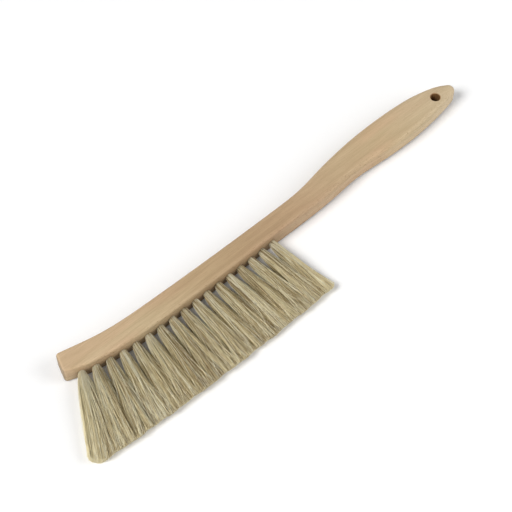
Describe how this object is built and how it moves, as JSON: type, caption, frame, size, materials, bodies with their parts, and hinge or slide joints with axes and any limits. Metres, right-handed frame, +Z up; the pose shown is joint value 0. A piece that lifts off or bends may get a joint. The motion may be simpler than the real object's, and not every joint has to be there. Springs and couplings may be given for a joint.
{
  "type": "bee brush",
  "caption": "Hand brush with a curved one-piece beech stock and handle, a hanging hole and one row of spreading horsehair tufts along its edge.",
  "frame": {"origin": "bottom centre of the whole brush's bounding box, on the plane it lies on", "axes": "+X along the brush from the toe to the tip of the handle, hair pointing to -Y, +Z up through the thickness of the stock"},
  "size_m": [0.4426, 0.1002, 0.017],
  "materials": {
    "beech": "satin",
    "horsehair": "matte",
    "anchor_wire": "brushed"
  },
  "bodies": {
    "root": {"stock": "beech", "tuft_01": "horsehair", "tuft_02": "horsehair", "tuft_03": "horsehair", "tuft_04": "horsehair", "tuft_05": "horsehair", "tuft_06": "horsehair", "tuft_07": "horsehair", "tuft_08": "horsehair", "tuft_09": "horsehair", "tuft_10": "horsehair", "tuft_11": "horsehair", "tuft_12": "horsehair", "tuft_13": "horsehair", "tuft_14": "horsehair", "tuft_15": "horsehair", "tuft_16": "horsehair", "tuft_17": "horsehair", "anchors": "anchor_wire"}
  },
  "joints": []
}
